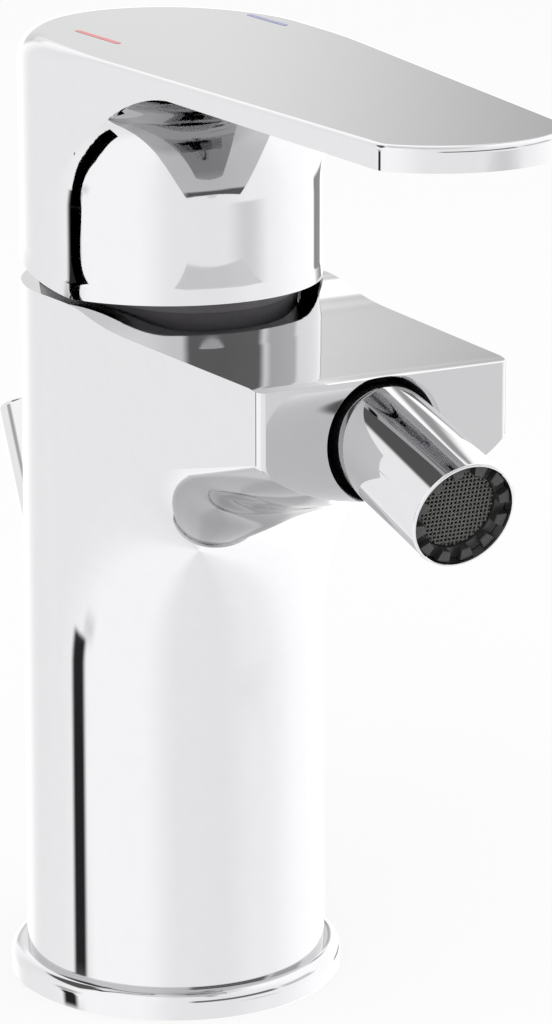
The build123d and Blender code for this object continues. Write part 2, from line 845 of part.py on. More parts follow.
def make_aerator_mesh():
    """Round screen with a grid of square openings."""
    half_diagonal = mesh_opening * sqrt(0.5)
    screen = Circle(mesh_radius)
    middle = (mesh_count - 1) / 2
    for column in range(mesh_count):
        for row in range(mesh_count):
            place = ((column - middle) * mesh_pitch, (row - middle) * mesh_pitch)
            if sqrt(place[0] ** 2 + place[1] ** 2) + 2 * half_diagonal < mesh_radius:
                screen -= Pos(place[0], place[1], 0) * Rectangle(mesh_opening, mesh_opening)
    ledge = sleeve_length - insert_recess - mesh_recess - mesh_thickness
    return tube_axis * Pos(0, 0, ledge) * extrude(screen, amount=mesh_thickness)


# Lift rod and knob

def make_lift_rod():
    """Thin rod that rises through the foot and the rear wall."""
    top = along_rod(knob_top_height) - knob_length + knob_socket_depth
    rod = post(rod_radius, along_rod(rod_foot_height), top)
    rod = chamfer(rod.edges().group_by(Axis.Z)[0], rod_foot_chamfer)
    return rod_axis * rod


def make_lift_knob():
    """Plain round knob with a blind hole for the rod."""
    top = along_rod(knob_top_height)
    knob = post(knob_radius, top - knob_length, top)
    knob = fillet(knob.edges().group_by(Axis.Z)[-1], knob_top_round)
    knob = fillet(knob.edges().group_by(Axis.Z)[0], min(knob_bottom_round, knob_radius - rod_radius))
    bottom = top - knob_length
    knob -= post(rod_radius + knob_socket_gap, bottom - overrun, bottom + knob_socket_depth + knob_socket_gap)
    return rod_axis * knob


write("mixer_body", make_mixer_body())
write("base_ring", make_base_ring())
write("base_gasket", make_base_gasket())
for port_name, port_place in port_places().items():
    write(f"port_seal_{port_name}", make_port_seal(port_place))
write("cartridge_base", make_cartridge_base())
write("fixed_disc", make_fixed_disc())
write("cartridge_shell", make_cartridge_shell())
write("cartridge_nut", make_cartridge_nut())
write("dome_cap", make_dome_cap())
write("ball_nipple", make_ball_nipple())
write("nipple_seal", make_nipple_seal())
write("rod_bush", make_rod_bush())
write("cartridge_rotor", make_cartridge_rotor())
write("rotor_ring", make_rotor_ring())
write("stem_pin", make_stem_pin())
write("moving_disc", make_moving_disc())
write("disc_carrier", make_disc_carrier())
write("cartridge_stem", make_cartridge_stem())
write("lever_handle", make_lever_handle())
write("grub_screw", make_grub_screw())
write("screw_plug", make_screw_plug())
write("ball_seat", make_ball_seat())
write("aerator_sleeve", make_aerator_sleeve())
write("seat_retainer", make_seat_retainer())
write("aerator_gasket", make_aerator_gasket())
write("aerator_insert", make_aerator_insert())
write("aerator_mesh", make_aerator_mesh())
write("lift_rod", make_lift_rod())
write("lift_knob", make_lift_knob())
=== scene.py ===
import json
from math import asin, atan, atan2, cos, degrees, pi, radians, sin, sqrt

import bmesh
import bpy
from mathutils import Matrix, Vector


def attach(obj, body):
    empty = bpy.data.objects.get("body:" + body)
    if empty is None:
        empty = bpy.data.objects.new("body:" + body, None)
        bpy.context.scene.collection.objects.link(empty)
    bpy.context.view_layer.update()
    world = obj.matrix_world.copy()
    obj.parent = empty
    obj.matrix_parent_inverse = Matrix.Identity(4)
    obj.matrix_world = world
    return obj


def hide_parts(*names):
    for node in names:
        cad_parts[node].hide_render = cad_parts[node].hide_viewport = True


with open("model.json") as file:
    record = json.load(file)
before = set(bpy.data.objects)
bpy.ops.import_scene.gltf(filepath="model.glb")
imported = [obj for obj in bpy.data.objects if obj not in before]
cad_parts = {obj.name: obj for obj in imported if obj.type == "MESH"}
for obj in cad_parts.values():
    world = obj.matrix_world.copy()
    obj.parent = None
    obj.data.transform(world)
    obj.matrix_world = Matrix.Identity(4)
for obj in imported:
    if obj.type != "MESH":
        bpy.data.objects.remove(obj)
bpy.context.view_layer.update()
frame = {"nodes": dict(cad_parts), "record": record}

mm = 0.001
weld = 0.004 * mm

# Column and spout
foot_radius = 22.5 * mm
rim_radius = 21.87 * mm
ring_height = 4.2 * mm
column_height = 106.2 * mm
spigot_radius = 19.0 * mm
spout_reach = 61.5 * mm
spout_root_half_width = 21.775 * mm
spout_face_half_width = 19.45 * mm
spout_corner_radius = 1.2 * mm
spout_step_start = 8.0 * mm
spout_step_end = 27.0 * mm
spout_rear_drop = 1.75 * mm
spout_front_drop = 2.0 * mm
keel_slope = 16.4
elbow_radius = 30.0 * mm
elbow_start = 53.0 * mm
belly_half_width = 21.9 * mm
belly_depth = 12.8 * mm
belly_run = 46.0 * mm
blank_top = 112.0 * mm
past_end = 20.0 * mm
body_edge_round = 0.35 * mm

# Seats, water ways and holes in the column
dome_seat_radius = 19.4 * mm
dome_seat_height = 102.8 * mm
nut_seat_radius = 18.55 * mm
nut_seat_height = 94.7 * mm
cartridge_seat_radius = 17.75 * mm
cartridge_floor = 72.0 * mm
face_bore_radius = 8.5 * mm
face_bore_depth = 10.7 * mm
face_bore_chamfer = 0.5 * mm
nipple_thread_radius = 3.95 * mm
nipple_thread_length = 7.3 * mm
inlet_radius = 5.0 * mm
inlet_depth = 12.0 * mm
inlet_offset = 8.0 * mm
inlet_forward = 2.0 * mm
stud_radius = 4.0 * mm
stud_depth = 14.0 * mm
stud_forward = 12.0 * mm

# Lift rod
rod_lean = 26.0
rod_foot_back = 12.4 * mm
rod_radius = 2.5 * mm
rod_foot_height = 1.5 * mm
rod_foot_chamfer = 0.5 * mm
rod_in_knob = 2.0 * mm
rod_hole_radius = 2.8 * mm
bush_hole_radius = 3.55 * mm
bush_top_height = 13.0 * mm
knob_radius = 4.3 * mm
knob_top_height = 77.0 * mm
knob_length = 22.0 * mm
knob_top_round = 0.7 * mm
knob_bottom_round = 1.8 * mm

# Lever and dome
pivot_height = 105.0 * mm
hub_radius = 21.9 * mm
hub_front_height = 106.65 * mm
hub_slope_start = 8.0 * mm
hub_rear_rise = 6.5 * mm
hub_rear_slope = hub_rear_rise / (hub_slope_start + hub_radius)
lever_height = 142.5 * mm
lever_reach = 90.3 * mm
lever_tip_drop = 2.45 * mm
lever_side_taper = radians(5.13)
lever_tip_radius = 20.0 * mm
lever_corner_radius = 3.6 * mm
lever_edge_round = 0.9 * mm
lever_rim_round = 4.0 * mm
lever_rim_fade = 20.0 * mm
lever_crease_round = 0.3 * mm
hub_lip_height = 2.5 * mm
hub_lip_flare = 0.22 * mm
plate_root_depth = 2.37 * mm
plate_tip_depth = 5.86 * mm
hub_fillet_radius = 18.8 * mm
hub_fillet_top = 138.8 * mm
hub_skin = 0.005 * mm
hub_cavity_radius = 20.1 * mm
hub_hollow_radius = 15.0 * mm
hub_hollow_top = 136.0 * mm
boss_radius = 7.5 * mm
boss_bottom = 114.0 * mm
screw_height = 122.0 * mm
plug_hole_radius = 3.2 * mm
dome_radius = 19.3 * mm
dome_wall = 1.3 * mm
dome_top = 115.8 * mm

# Enamel marks on the lever: both ends as (side, forward)
hot_mark = ((-12.8 * mm, -3.7 * mm), (-12.0 * mm, 7.2 * mm))
cold_mark = ((15.8 * mm, -4.9 * mm), (16.4 * mm, 4.5 * mm))
mark_width = 0.9 * mm
mark_sink = 0.05 * mm
mark_rise = 0.04 * mm

# Swivelling aerator
ball_forward = 60.8 * mm
ball_height = 95.3 * mm
aerator_tilt = radians(15.2)
sleeve_radius = 7.7 * mm
sleeve_length = 21.9 * mm
sleeve_bore_radius = 7.25 * mm
sleeve_mouth_radius = 5.3 * mm
sleeve_rim_round = 0.3 * mm
sleeve_rim_chamfer = 0.08 * mm
ball_taper_top_radius = 6.25 * mm
ball_taper_end_radius = 4.75 * mm
ball_taper_depth = 4.06 * mm
aerator_step = 9.0 * mm
throat_radius = 6.3 * mm
insert_radius = 7.2 * mm
insert_recess = 0.5 * mm
insert_notches = 12
insert_notch_width = 1.7 * mm
insert_notch_depth = 1.2 * mm
insert_notch_length = 4.0 * mm
insert_notch_offset = 1.2 * mm
insert_bore_radius = 4.9 * mm
insert_chamfer = 0.15 * mm
insert_ledge = 0.6 * mm
insert_edge_round = 0.08 * mm
insert_lip_radius = 5.6 * mm
insert_length = 11.0 * mm
mesh_radius = 5.5 * mm
mesh_recess = 1.4 * mm
mesh_wires = 18
mesh_wire_width = 0.26 * mm
mesh_wire_wave = 0.09 * mm
mesh_sink = 0.3 * mm
mesh_rim_gap = 0.1 * mm

# Base ring
ring_radius = 24.87 * mm
ring_bore_radius = 19.1 * mm
ring_top_round = 1.9 * mm
ring_foot_chamfer = 0.2 * mm
gasket_inner_radius = 20.6 * mm
gasket_outer_radius = 23.4 * mm
gasket_thickness = 1.4 * mm


def spot(side, forward, up):
    """A point from its distances to the right, forward and up."""
    return Vector((side, -forward, up))


# Mesh helpers

def wall_through(bm, loops):
    """Closed loops of one count joined into a wall, each grown from the loop before it."""
    ring = [bm.verts.new(point) for point in loops[0]]
    edges = [bm.edges.new((ring[i - 1], ring[i])) for i in range(len(ring))]
    first = list(ring)
    for loop in loops[1:]:
        grown = bmesh.ops.extrude_edge_only(bm, edges=edges)["geom"]
        fresh = {part for part in grown if isinstance(part, bmesh.types.BMVert)}
        ring = [next(e.other_vert(v) for e in v.link_edges if e.other_vert(v) in fresh) for v in ring]
        for vert, point in zip(ring, loop):
            vert.co = point
        edges = [bm.edges.get((ring[i - 1], ring[i])) for i in range(len(ring))]
    return first, ring


def capped_wall(bm, loops):
    """A wall through loops with both ends closed."""
    first, last = wall_through(bm, loops)
    bm.faces.new(first)
    bm.faces.new(last)


def solid_through(loops):
    """A closed mesh through a row of closed loops."""
    bm = bmesh.new()
    capped_wall(bm, loops)
    bmesh.ops.recalc_face_normals(bm, faces=bm.faces)
    return bm


def turned(profile, steps=128):
    """A round piece spun about Z from (radius, height) points. Ends on the axis close by themselves."""
    bm = bmesh.new()
    line = [bm.verts.new((radius, 0, height)) for radius, height in profile]
    edges = [bm.edges.new(pair) for pair in zip(line, line[1:])]
    bmesh.ops.spin(
        bm, geom=line + edges, cent=(0, 0, 0), axis=(0, 0, 1), angle=2 * pi, steps=steps, use_merge=True
    )
    bmesh.ops.remove_doubles(bm, verts=bm.verts, dist=0.001 * mm)
    bmesh.ops.recalc_face_normals(bm, faces=bm.faces)
    return bm


def closed_turn(outline, steps=128):
    """A ring or tube spun about Z from a closed (radius, height) outline."""
    return turned(list(outline) + [outline[0]], steps)


def cylinder(radius, low, high, steps=64):
    """A plain round bar along Z."""
    return turned([(0, low), (radius, low), (radius, high), (0, high)], steps)


def arc(centre, radius, start, end, steps):
    """Points of an arc in a plane, angles in degrees."""
    angles = [radians(start + (end - start) * step / steps) for step in range(steps + 1)]
    return [(centre[0] + radius * cos(a), centre[1] + radius * sin(a)) for a in angles]


def prism(outline, low, high, to_point):
    """A flat outline pushed from low to high, placed by to_point(a, b, depth)."""
    return solid_through([[to_point(a, b, depth) for a, b in outline] for depth in (low, high)])


def side_prism(outline, wide):
    """An outline of (forward, height) points from the side, pushed out to the left and the right."""
    return prism(outline, -wide, wide, lambda forward, height, side: spot(side, forward, height))


def placed(bm, place):
    """Moves a mesh by a placement."""
    bmesh.ops.transform(bm, matrix=place, verts=bm.verts)
    return bm


def to_object(name, bm):
    """A finished mesh as an object in the scene."""
    mesh = bpy.data.meshes.new(name)
    bm.to_mesh(mesh)
    bm.free()
    piece = bpy.data.objects.new(name, mesh)
    bpy.context.scene.collection.objects.link(piece)
    return piece


def settle(piece):
    """Applies every modifier of a piece."""
    bpy.context.view_layer.update()
    shaped = piece.evaluated_get(bpy.context.evaluated_depsgraph_get())
    mesh = bpy.data.meshes.new_from_object(shaped)
    piece.modifiers.clear()
    old = piece.data
    piece.data = mesh
    mesh.name = piece.name
    bpy.data.meshes.remove(old)


def carve(piece, tool, how="DIFFERENCE"):
    """Cuts a piece with another mesh, which is used up."""
    cutter = to_object("cutter", tool)
    cut = piece.modifiers.new("cut", "BOOLEAN")
    cut.operation = how
    cut.solver = "EXACT"
    cut.object = cutter
    settle(piece)
    bpy.data.objects.remove(cutter)


def clean_mesh(piece):
    """Merges doubles and drops slivers that cutting leaves."""
    bm = bmesh.new()
    bm.from_mesh(piece.data)
    bmesh.ops.remove_doubles(bm, verts=bm.verts, dist=weld)
    bmesh.ops.dissolve_degenerate(bm, edges=bm.edges, dist=weld)
    bm.to_mesh(piece.data)
    bm.free()


def soften(piece, width, angle=30.0, segments=3):
    """Small round on every sharp edge, with smooth shading."""
    piece.data.polygons.foreach_set("use_smooth", [True] * len(piece.data.polygons))
    round_edges = piece.modifiers.new("round_edges", "BEVEL")
    round_edges.width = width
    round_edges.segments = segments
    round_edges.limit_method = "ANGLE"
    round_edges.angle_limit = radians(angle)
    round_edges.use_clamp_overlap = True
    round_edges.harden_normals = False
    shade = piece.modifiers.new("even_shade", "WEIGHTED_NORMAL")
    shade.mode = "FACE_AREA"
    shade.keep_sharp = True
    shade.weight = 60


def smooth(piece, angle=35.0):
    """Smooth shading that stays crisp at sharp edges."""
    piece.data.polygons.foreach_set("use_smooth", [True] * len(piece.data.polygons))
    piece.data.set_sharp_from_angle(angle=radians(angle))


def finish_piece(piece, body, nodes, material):
    """Gives a piece its body, the nodes that it stands for and its finish."""
    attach(piece, body)
    if nodes:
        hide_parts(*nodes)
    piece.data.materials.clear()
    piece.data.materials.append(material)


def halve(holds, low, high, rounds=40):
    """Closes in on the place where a test that holds at low stops holding."""
    for _ in range(rounds):
        middle = (low + high) / 2
        if holds(middle):
            low = middle
        else:
            high = middle
    return low, high


# Column and spout

def column_radius(height):
    """Radius of the round column, which tapers a little from the ring to the rim."""
    share = (height - ring_height) / (column_height - ring_height)
    return foot_radius + (rim_radius - foot_radius) * share


def spout_side(forward):
    """Half width between the spout's side planes."""
    share = forward / spout_reach
    return spout_root_half_width + (spout_face_half_width - spout_root_half_width) * share


def side_meets_column(height):
    """Forward place where the side plane leaves the round column."""
    radius = column_radius(height)

    def outside_plane(forward):
        return sqrt(max(radius**2 - forward**2, 0)) > spout_side(forward)

    return halve(outside_plane, 2 * mm, 12 * mm)[0]


def belly_point(progress, angle):
    """Point of the belly: progress 0 to 1 goes round the elbow, then straight on to the front."""
    full_turn = 90 - keel_slope
    share = min(progress, 1.0)
    turn = radians(full_turn * share)
    root = column_radius(elbow_start)
    ease = (1 + cos(pi * share)) / 2
    half_width = belly_half_width + (root - belly_half_width) * (1 - share)
    depth = belly_depth + (root - belly_depth) * ease
    reach = elbow_radius + depth * (1 - cos(angle))
    extra = max(progress - 1.0, 0.0) * belly_run
    forward = root + elbow_radius - reach * cos(turn) + extra * cos(radians(keel_slope))
    up = elbow_start + reach * sin(turn) + extra * sin(radians(keel_slope))
    return half_width * sin(angle), forward, up


def crease_angle(progress):
    """Angle on the belly's half ellipse where it meets the side plane."""

    def inside(angle):
        side, forward, _ = belly_point(progress, angle)
        return side < spout_side(forward)

    return halve(inside, 0.0, pi / 2)[0]


def column_loop(progress, height):
    """One loop of the casting: belly in front, side planes, round column behind."""
    under, flank, back = 30, 8, 40
    radius = column_radius(height)

    def on_column(angles):
        return [(radius * sin(a), radius * cos(a), height) for a in angles]

    crease = crease_angle(progress)
    join_forward = side_meets_column(max(height, elbow_start))
    join_angle = atan2(spout_side(join_forward), join_forward)
    belly = [crease * i / under for i in range(under + 1)]
    if progress <= 0:
        front = on_column(belly)
        side = on_column([crease + (join_angle - crease) * i / flank for i in range(1, flank + 1)])
    else:
        front = [belly_point(progress, angle) for angle in belly]
        end = (spout_side(join_forward), join_forward, height)
        side = [tuple(s + (e - s) * i / flank for s, e in zip(front[-1], end)) for i in range(1, flank + 1)]
    behind = on_column([join_angle + (pi - join_angle) * i / back for i in range(1, back + 1)])
    half = front + side + behind
    mirrored = [(-s, f, u) for s, f, u in half[-2:0:-1]]
    return [spot(s, f, u) for s, f, u in half + mirrored]


def casting_blank():
    """Column, elbow and spout as one wall, open above and in front until they are trimmed."""
    loops = []
    low_steps, turn_steps, run_steps = 12, 34, 12
    for step in range(low_steps):
        height = ring_height + (elbow_start - ring_height) * step / low_steps
        loops.append(column_loop(0.0, height))
    total = turn_steps + run_steps
    for step in range(total + 1):
        progress = step / turn_steps if step <= turn_steps else 1 + (step - turn_steps) / run_steps
        height = elbow_start + (blank_top - elbow_start) * sin(pi / 2 * step / total)
        loops.append(column_loop(progress, height))
    bm = bmesh.new()
    first, last = wall_through(bm, loops)
    bm.faces.new(first)
    for i in range(len(last) // 2):
        corners = list(dict.fromkeys([last[i], last[i + 1], last[-i - 1], last[-i]]))
        if len(corners) > 2:
            bm.faces.new(corners)
    bmesh.ops.recalc_face_normals(bm, faces=bm.faces)
    return bm


def spout_top_points():
    """Side view of the top: level rim, soft step and nearly level spout."""
    slope = (spout_front_drop - spout_rear_drop) / (spout_reach - spout_step_end)
    spout_height = column_height - spout_rear_drop
    step = spout_step_end - spout_step_start
    lead = 0.38
    curve_steps = 24
    controls = (
        (spout_step_start, column_height),
        (spout_step_start + lead * step, column_height),
        (spout_step_start + lead * step, spout_height + slope * step * (1 - lead)),
        (spout_step_end, spout_height),
    )
    points = [(-foot_radius - past_end, column_height)]
    for i in range(curve_steps + 1):
        t = i / curve_steps
        weights = ((1 - t) ** 3, 3 * t * (1 - t) ** 2, 3 * t * t * (1 - t), t**3)
        points.append(tuple(sum(w * c[axis] for w, c in zip(weights, controls)) for axis in (0, 1)))
    front = spout_reach + past_end
    points.append((front, spout_height - slope * (front - spout_step_end)))
    return points


def trim_plan():
    """Plan of the spout with its two rounded front corners, wider than the casting everywhere else."""
    wide = foot_radius + past_end
    slant = (spout_root_half_width - spout_face_half_width) / spout_reach
    corner = spout_corner_radius
    corner_start = spout_reach - corner
    inner = spout_face_half_width - corner / cos(atan(slant)) + slant * corner
    outline = [(wide, -wide), (wide, 0), (spout_side(0) + past_end * 0.2, 0)]
    outline += [(spout_side(corner_start) + 0.001 * mm, corner_start)]
    outline += arc((inner, corner_start), corner, 0, 90, 6)[1:]
    return outline + [(-s, f) for s, f in reversed(outline)]


def make_column(chrome, bore_shade_finish):
    """Column, elbow and spout with their seats and bores. Inside the bore in the spout's face, the casting
    gets a near-black finish as painted shade.
    """
    piece = to_object("column_and_spout", casting_blank())
    top = spout_top_points()
    side_view = top + [(top[-1][0], -past_end), (top[0][0], -past_end)]
    carve(piece, side_prism(side_view, foot_radius + past_end), "INTERSECT")
    carve(piece, prism(trim_plan(), -past_end, blank_top + past_end, spot), "INTERSECT")
    seat = [
        (0, cartridge_floor),
        (cartridge_seat_radius, cartridge_floor),
        (cartridge_seat_radius, nut_seat_height),
        (nut_seat_radius, nut_seat_height),
        (nut_seat_radius, dome_seat_height),
        (dome_seat_radius, dome_seat_height),
        (dome_seat_radius, blank_top + past_end),
        (0, blank_top + past_end),
    ]
    carve(piece, turned(seat, 192))
    mouth = spout_reach - ball_forward
    floor = mouth - face_bore_depth
    face_bore = [
        (0, floor - nipple_thread_length),
        (nipple_thread_radius, floor - nipple_thread_length),
        (nipple_thread_radius, floor),
        (face_bore_radius, floor),
        (face_bore_radius, mouth - face_bore_chamfer),
        (face_bore_radius + face_bore_chamfer, mouth),
        (face_bore_radius + face_bore_chamfer, mouth + past_end),
        (0, mouth + past_end),
    ]
    carve(piece, placed(turned(face_bore, 96), socket_place()))
    rod_hole = [
        (0, -past_end),
        (bush_hole_radius, -past_end),
        (bush_hole_radius, along_rod(bush_top_height)),
        (rod_hole_radius, along_rod(bush_top_height)),
        (rod_hole_radius, along_rod(elbow_start)),
        (0, along_rod(elbow_start)),
    ]
    carve(piece, placed(turned(rod_hole, 64), rod_place()))
    clean_mesh(piece)
    soften(piece, body_edge_round)
    finish_piece(piece, "body", (), chrome)
    piece.data.materials.append(bore_shade_finish)
    # Faces inside the spout's face bore get the near-black painted shade
    to_bore = socket_place().inverted()
    reach = face_bore_radius + 0.1 * mm
    for face in piece.data.polygons:
        place = to_bore @ face.center
        if place.xy.length < reach and abs(place.z - mouth) < 2 * face_bore_depth:
            face.material_index = 1
    return piece


def make_spigot(chrome):
    """Underside of the casting with its supply, stud and rod holes."""
    piece = to_object("casting_foot", cylinder(spigot_radius, 0, ring_height, 128))
    holes = (
        (-inlet_offset, inlet_forward, inlet_radius, inlet_depth),
        (inlet_offset, inlet_forward, inlet_radius, inlet_depth),
        (0, stud_forward, stud_radius, stud_depth),
    )
    for side, forward, radius, depth in holes:
        carve(piece, placed(cylinder(radius, -past_end, depth), Matrix.Translation(spot(side, forward, 0))))
    carve(piece, placed(cylinder(bush_hole_radius, -past_end, past_end), rod_place()))
    clean_mesh(piece)
    smooth(piece)
    finish_piece(piece, "body", (), chrome)


def along_rod(height):
    """Distance along the leaning rod up to a height."""
    return height / cos(radians(rod_lean))


def rod_place():
    """Places a piece made along Z on the leaning rod's axis."""
    return Matrix.Translation(spot(0, -rod_foot_back, 0)) @ Matrix.Rotation(-radians(rod_lean), 4, "X")


def socket_place():
    """Places a piece made along Z on the level bore in the spout's face."""
    return Matrix.Translation(spot(0, ball_forward, ball_height)) @ Matrix.Rotation(radians(90), 4, "X")


def tube_place():
    """Places a piece made along Z on the drooping aerator tube."""
    place = Matrix.Translation(spot(0, ball_forward, ball_height))
    return place @ Matrix.Rotation(radians(90) + aerator_tilt, 4, "X")


# Lever

def lever_top_at(forward):
    """Height of the plate's top, which falls towards the tip."""
    return lever_height - lever_tip_drop * forward / lever_reach


def lever_under_at(forward):
    """Height of the plate's underside."""
    return lever_height - plate_root_depth - (plate_tip_depth - plate_root_depth) * forward / lever_reach


def lever_plan():
    """Right half of the lever's plan from the tip's middle to the rear, as (side, forward) points."""
    bow = lever_reach - lever_tip_radius
    slant = sin(lever_side_taper)
    rise = cos(lever_side_taper)
    corner = lever_corner_radius
    offset = hub_radius - corner
    inner_radius = lever_tip_radius - corner

    def bow_at(side):
        return bow + sqrt(inner_radius**2 - side**2)

    corner_side = halve(lambda side: side * rise + bow_at(side) * slant < offset, 0.0, inner_radius, 50)[0]
    centre = (corner_side, bow_at(corner_side))
    tip_angle = atan2(centre[0], centre[1] - bow)
    points = []
    tip_steps, corner_steps, side_steps, rear_steps = 12, 10, 44, 64
    for i in range(tip_steps):
        a = tip_angle * i / tip_steps
        points.append((lever_tip_radius * sin(a), bow + lever_tip_radius * cos(a)))
    side_angle = pi / 2 - lever_side_taper
    for i in range(corner_steps + 1):
        a = tip_angle + (side_angle - tip_angle) * i / corner_steps
        points.append((centre[0] + corner * sin(a), centre[1] + corner * cos(a)))
    start = points[-1]
    end = (hub_radius * rise, hub_radius * slant)
    for i in range(1, side_steps):
        points.append(tuple(s + (e - s) * i / side_steps for s, e in zip(start, end)))
    for i in range(rear_steps + 1):
        a = side_angle + (pi - side_angle) * i / rear_steps
        points.append((hub_radius * sin(a), hub_radius * cos(a)))
    return points


def lever_rim_at(forward):
    """Radius of the rounded top rim: large behind, small along the sides and tip."""
    share = min(max((lever_rim_fade - forward) / (lever_rim_fade + 0.6 * hub_radius), 0.0), 1.0)
    share = share * share * (3 - 2 * share)
    return lever_edge_round + (lever_rim_round - lever_edge_round) * share


def outline_normals(outline):
    """Outward direction at each point of a closed outline."""
    normals = []
    for i in range(len(outline)):
        before = Vector(outline[i - 1])
        after = Vector(outline[(i + 1) % len(outline)])
        along = (after - before).normalized()
        normals.append(Vector((along.y, -along.x)))
    if normals[0].y < 0:
        normals = [-n for n in normals]
    return normals


def lever_blank():
    """Lever with vertical walls and a rounded top rim, before the underside is cut."""
    half = lever_plan()
    outline = half + [(-s, f) for s, f in reversed(half[1:-1])]
    normals = outline_normals(outline)
    bottom = hub_front_height - past_end / 4
    loops = []
    for level in (0.0, 0.5, 0.8):
        heights = [bottom + (lever_top_at(f) - lever_rim_at(f) - bottom) * level for _, f in outline]
        loops.append([spot(s, f, height) for (s, f), height in zip(outline, heights)])
    steps = 10
    for step in range(steps + 1):
        turn = pi / 2 * step / steps
        loop = []
        for (s, f), normal in zip(outline, normals):
            size = lever_rim_at(f)
            place = Vector((s, f)) - normal * (size * (1 - cos(turn)))
            loop.append(spot(place.x, place.y, lever_top_at(place.y) - size * (1 - sin(turn))))
        loops.append(loop)
    return solid_through(loops)


def lever_air():
    """Air below the plate and in front of the hub, with the large hollow round between them."""
    low = hub_front_height - past_end / 2
    start = hub_fillet_top - hub_fillet_radius
    wall = hub_radius + hub_skin
    outer = wall + hub_fillet_radius
    far = 2 * lever_reach
    past_corner = 3
    sweep = 90 - degrees(lever_side_taper) + past_corner
    turns, rounds = 120, 28
    loops = []
    for turn in range(turns + 1):
        angle = radians(-sweep + 2 * sweep * turn / turns)

        def above_plate(t):
            radius = outer - hub_fillet_radius * cos(t)
            return start + hub_fillet_radius * sin(t) - lever_under_at(radius * cos(angle))

        meets = pi / 2
        if above_plate(meets) > 0:
            meets = halve(lambda t: above_plate(t) < 0, 0.0, meets)[1]
        profile = [(wall, low), (wall, start - 6 * mm), (wall, start - 2 * mm)]
        for step in range(rounds + 1):
            t = meets * step / rounds
            profile.append((outer - hub_fillet_radius * cos(t), start + hub_fillet_radius * sin(t)))
        for reach in (profile[-1][0] + 0.01 * mm, far):
            profile.append((reach, lever_under_at(reach * cos(angle))))
        profile.append((far, low))
        loops.append([spot(r * sin(angle), r * cos(angle), z) for r, z in profile])
    return solid_through(loops)


def hub_bottom_at(forward):
    """Height of the hub's lower edge: level in front, rising behind."""
    return hub_front_height + hub_rear_slope * max(hub_slope_start - forward, 0.0)


def shape_hub_rim(piece):
    """Slightly flared lip round the foot of the hub."""
    wall_slack = 1.0 * mm
    wall_band = 12.0 * mm
    lip_slack = 0.4 * mm
    level = Vector((0, 0, 1))
    sloped = Vector((0, -hub_rear_slope, 1)).normalized()
    bm = bmesh.new()
    bm.from_mesh(piece.data)
    bmesh.ops.remove_doubles(bm, verts=bm.verts, dist=weld)
    for share in (1.0, 0.8, 0.4):
        start = spot(0, hub_slope_start, hub_front_height + share * hub_lip_height)
        for ahead, lean in ((True, level), (False, sloped)):
            walls = []
            for face in bm.faces:
                place = face.calc_center_median()
                foot = min(vert.co.z for vert in face.verts)
                near = abs(place.xy.length - hub_radius) < wall_slack and foot < hub_front_height + wall_band
                if near and (-place.y >= hub_slope_start) == ahead:
                    walls.append(face)
            parts = walls + list({edge for face in walls for edge in face.edges})
            parts += list({vert for face in walls for vert in face.verts})
            bmesh.ops.bisect_plane(bm, geom=parts, dist=0.002 * mm, plane_co=start, plane_no=lean)
    for vert in bm.verts:
        above = vert.co.z - hub_bottom_at(-vert.co.y)
        reach = vert.co.xy.length
        if above < hub_lip_height and abs(reach - hub_radius) < lip_slack:
            out = hub_lip_flare * (1 - max(above, 0.0) / hub_lip_height) / reach
            vert.co.x += vert.co.x * out
            vert.co.y += vert.co.y * out
    bm.to_mesh(piece.data)
    bm.free()


def make_lever(chrome):
    """Plate and hub in one, with the ball-shaped hollow, the boss and the plug's hole."""
    piece = to_object("lever", lever_blank())
    carve(piece, lever_air())
    rear = -hub_radius - past_end
    skirt = [
        (lever_reach + past_end, 0),
        (lever_reach + past_end, hub_front_height),
        (hub_slope_start, hub_front_height),
        (rear, hub_bottom_at(rear)),
        (rear, 0),
    ]
    carve(piece, side_prism(skirt, hub_radius + past_end))
    ball_top = sqrt(hub_cavity_radius**2 - hub_hollow_radius**2)
    ball_end = 90 - degrees(atan2(hub_hollow_radius, ball_top))
    hollow = arc((0, pivot_height), hub_cavity_radius, -90, ball_end, 36)
    hollow[0] = (0, pivot_height - hub_cavity_radius)
    hollow += [
        (hub_hollow_radius, hub_hollow_top),
        (boss_radius, hub_hollow_top),
        (boss_radius, boss_bottom),
        (0, boss_bottom),
    ]
    carve(piece, turned(hollow, 128))
    to_rear = Matrix.Translation(spot(0, 0, screw_height)) @ Matrix.Rotation(radians(-90), 4, "X")
    carve(piece, placed(cylinder(plug_hole_radius, boss_radius, 2 * hub_radius, 48), to_rear))
    shape_hub_rim(piece)
    clean_mesh(piece)
    soften(piece, lever_crease_round)
    finish_piece(piece, "lever", ("lever_handle",), chrome)


# Turned pieces

def make_base_ring(chrome):
    """Foot ring with the groove for its gasket."""
    outline = [
        (ring_bore_radius, 0),
        (gasket_inner_radius, 0),
        (gasket_inner_radius, gasket_thickness),
        (gasket_outer_radius, gasket_thickness),
        (gasket_outer_radius, 0),
        (ring_radius - ring_foot_chamfer, 0),
        (ring_radius, ring_foot_chamfer),
    ]
    outline += arc((ring_radius - ring_top_round, ring_height - ring_top_round), ring_top_round, 0, 90, 14)
    outline += [(ring_bore_radius, ring_height)]
    piece = to_object("foot_ring", closed_turn(outline, 256))
    smooth(piece)
    finish_piece(piece, "body", ("base_ring",), chrome)


def make_dome(finish):
    """Thin dome below the hub, open at its top for the stem."""
    inner = dome_radius - dome_wall
    top = dome_top - pivot_height
    outer_arc = arc((0, pivot_height), dome_radius, 0, degrees(asin(top / dome_radius)), 24)
    inner_arc = arc((0, pivot_height), inner, 0, degrees(asin(top / inner)), 20)
    outline = [(dome_radius, dome_seat_height)] + outer_arc + inner_arc[::-1] + [(inner, dome_seat_height)]
    piece = to_object("dome", closed_turn(outline, 192))
    smooth(piece)
    finish_piece(piece, "body", ("dome_cap",), finish)


